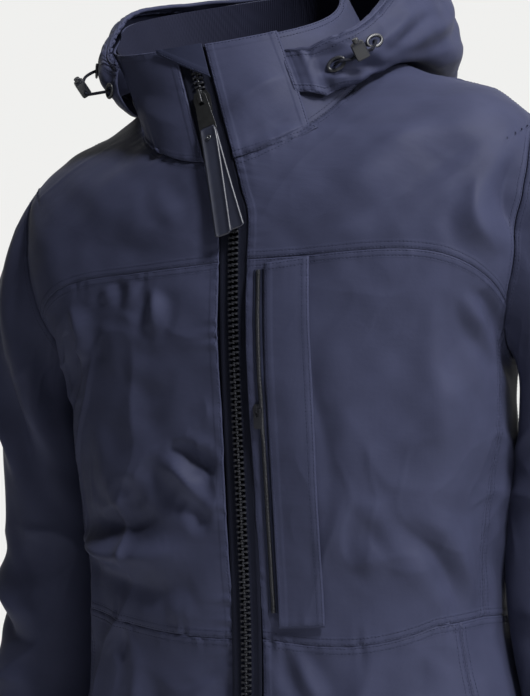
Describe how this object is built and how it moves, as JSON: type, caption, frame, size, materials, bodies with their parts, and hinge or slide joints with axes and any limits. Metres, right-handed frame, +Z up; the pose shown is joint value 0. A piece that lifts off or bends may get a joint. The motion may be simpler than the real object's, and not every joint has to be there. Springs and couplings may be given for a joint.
{
  "type": "foul weather jacket",
  "caption": "Hip-length waterproof sailing jacket with a front zip, standing collar, stowed hood, storm-flap chest pocket, zipped hand pockets and adjustable cuffs.",
  "frame": {"origin": "centre of the neck at the height of the shoulder line, where the worn jacket rests on the wearer's shoulders", "axes": "+Z up, the front faces -Y, the wearer's left is +X"},
  "size_m": [0.6888, 0.3646, 0.9001],
  "materials": {
    "shell": "satin coated woven",
    "lining": "fine mesh",
    "trim": "matt laminate",
    "tape": "woven polyester tape",
    "black_plastic": "moulded acetal",
    "strap": "moulded rubbery strap",
    "gunmetal": "dark plated die casting",
    "cord": "braided elastic"
  },
  "bodies": {
    "jacket": {"yoke_front_right": "shell", "yoke_front_left": "shell", "chest_panel_right": "shell", "chest_panel_left": "shell", "side_panel_right": "shell", "side_panel_left": "shell", "skirt_front_right": "shell", "skirt_front_left": "shell", "skirt_side_right": "shell", "skirt_side_left": "shell", "collar_panel_right": "shell", "collar_panel_left": "shell", "hood_side_right": "shell", "hood_side_left": "shell", "yoke_back": "shell", "back_panel": "shell", "skirt_back": "shell", "collar_stand": "shell", "hood_centre": "shell", "hood_rim": "shell", "chin_guard": "trim", "body_lining": "lining", "wind_flap": "trim", "chest_pocket_zip": "black_plastic", "chest_pocket_bag": "trim", "zip_bottom_box": "black_plastic", "zip_tape_right": "tape", "zip_tape_left": "tape", "zip_teeth_right": "black_plastic", "zip_teeth_left": "black_plastic", "hand_pocket_flap_right": "shell", "hand_pocket_flap_left": "shell", "hand_pocket_zip_right": "black_plastic", "hand_pocket_zip_left": "black_plastic", "hood_eyelet_front_right": "black_plastic", "hood_eyelet_front_left": "black_plastic", "hood_eyelet_back_right": "black_plastic", "hood_eyelet_back_left": "black_plastic", "hood_cord_right": "cord", "hood_cord_left": "cord", "cord_lock_right": "black_plastic", "cord_lock_left": "black_plastic"},
    "main_zip_slider": {"zip_slider": "gunmetal"},
    "main_zip_tab": {"zip_pull_tab": "gunmetal"},
    "main_zip_puller": {"zip_puller": "strap"},
    "chest_flap": {"chest_pocket_flap": "shell"},
    "chest_zip_slider": {"chest_pocket_slider": "gunmetal"},
    "chest_zip_pull": {"chest_pocket_pull": "gunmetal"},
    "arm_right": {"sleeve_right": "shell", "cuff_right": "shell"},
    "wrist_tab_right": {"cuff_tab_right": "trim"},
    "hand_zip_slider_right": {"hand_pocket_slider_right": "gunmetal"},
    "hand_zip_pull_right": {"hand_pocket_pull_right": "gunmetal"},
    "lock_button_right": {"cord_lock_button_right": "black_plastic"},
    "arm_left": {"sleeve_left": "shell", "cuff_left": "shell"},
    "wrist_tab_left": {"cuff_tab_left": "trim"},
    "hand_zip_slider_left": {"hand_pocket_slider_left": "gunmetal"},
    "hand_zip_pull_left": {"hand_pocket_pull_left": "gunmetal"},
    "lock_button_left": {"cord_lock_button_left": "black_plastic"}
  },
  "joints": [
    {"name": "main_zip_travel", "type": "slide", "parent": "jacket", "child": "main_zip_slider", "axis": [0.3031, -0.2183, -0.9276], "range_m": [0, 0.075]},
    {"name": "main_zip_tab_swing", "type": "hinge", "parent": "main_zip_slider", "child": "main_zip_tab", "pos_m": [-0.03774, -0.11383, 0.00214], "axis": [-0.9529, -0.0694, -0.2951], "range_deg": [0, 100]},
    {"name": "main_zip_puller_swing", "type": "hinge", "parent": "main_zip_tab", "child": "main_zip_puller", "pos_m": [-0.02607, -0.12224, -0.03357], "axis": [-0.9529, -0.0694, -0.2951], "range_deg": [0, 50]},
    {"name": "chest_flap_lift", "type": "hinge", "parent": "jacket", "child": "chest_flap", "pos_m": [0.07436, -0.134, -0.48704], "axis": [-0.0017, -0.0153, 0.9999], "range_deg": [0, 80]},
    {"name": "chest_zip_travel", "type": "slide", "parent": "jacket", "child": "chest_zip_slider", "axis": [0, -0.0088, 1], "range_m": [-0.15, 0.12]},
    {"name": "chest_zip_pull_swing", "type": "hinge", "parent": "chest_zip_slider", "child": "chest_zip_pull", "pos_m": [0.02263, -0.14833, -0.29054], "axis": [-1, 0, 0], "range_deg": [0, 100]},
    {"name": "arm_swing_right", "type": "hinge", "parent": "jacket", "child": "arm_right", "pos_m": [-0.2545, 0, -0.05688], "axis": [0, 1, 0], "range_deg": [0, 40]},
    {"name": "wrist_tab_lift_right", "type": "hinge", "parent": "arm_right", "child": "wrist_tab_right", "pos_m": [-0.31552, 0.04068, -0.66364], "axis": [-0.122, -0.2675, -0.9558], "range_deg": [0, 60]},
    {"name": "hand_zip_travel_right", "type": "slide", "parent": "jacket", "child": "hand_zip_slider_right", "axis": [-0.0874, -0.0558, -0.9946], "range_m": [0, 0.09]},
    {"name": "hand_zip_pull_swing_right", "type": "hinge", "parent": "hand_zip_slider_right", "child": "hand_zip_pull_right", "pos_m": [-0.18208, -0.10374, -0.58917], "axis": [-0.7726, 0.6341, 0.0323], "range_deg": [0, 100]},
    {"name": "lock_press_right", "type": "slide", "parent": "jacket", "child": "lock_button_right", "axis": [0.2206, 0.6587, -0.7194], "range_m": [0, 0.0025], "stiffness_N_per_m": 300, "springref_m": -0.002},
    {"name": "arm_swing_left", "type": "hinge", "parent": "jacket", "child": "arm_left", "pos_m": [0.25515, 0, -0.03333], "axis": [0, -1, 0], "range_deg": [0, 40]},
    {"name": "wrist_tab_lift_left", "type": "hinge", "parent": "arm_left", "child": "wrist_tab_left", "pos_m": [0.31552, 0.04068, -0.66364], "axis": [-0.122, 0.2675, 0.9558], "range_deg": [0, 60]},
    {"name": "hand_zip_travel_left", "type": "slide", "parent": "jacket", "child": "hand_zip_slider_left", "axis": [0.0874, -0.0558, -0.9946], "range_m": [0, 0.09]},
    {"name": "hand_zip_pull_swing_left", "type": "hinge", "parent": "hand_zip_slider_left", "child": "hand_zip_pull_left", "pos_m": [0.18208, -0.10374, -0.58917], "axis": [-0.7726, -0.6341, -0.0323], "range_deg": [0, 100]},
    {"name": "lock_press_left", "type": "slide", "parent": "jacket", "child": "lock_button_left", "axis": [0.2253, 0.5119, -0.829], "range_m": [0, 0.0025], "stiffness_N_per_m": 300, "springref_m": -0.002}
  ]
}
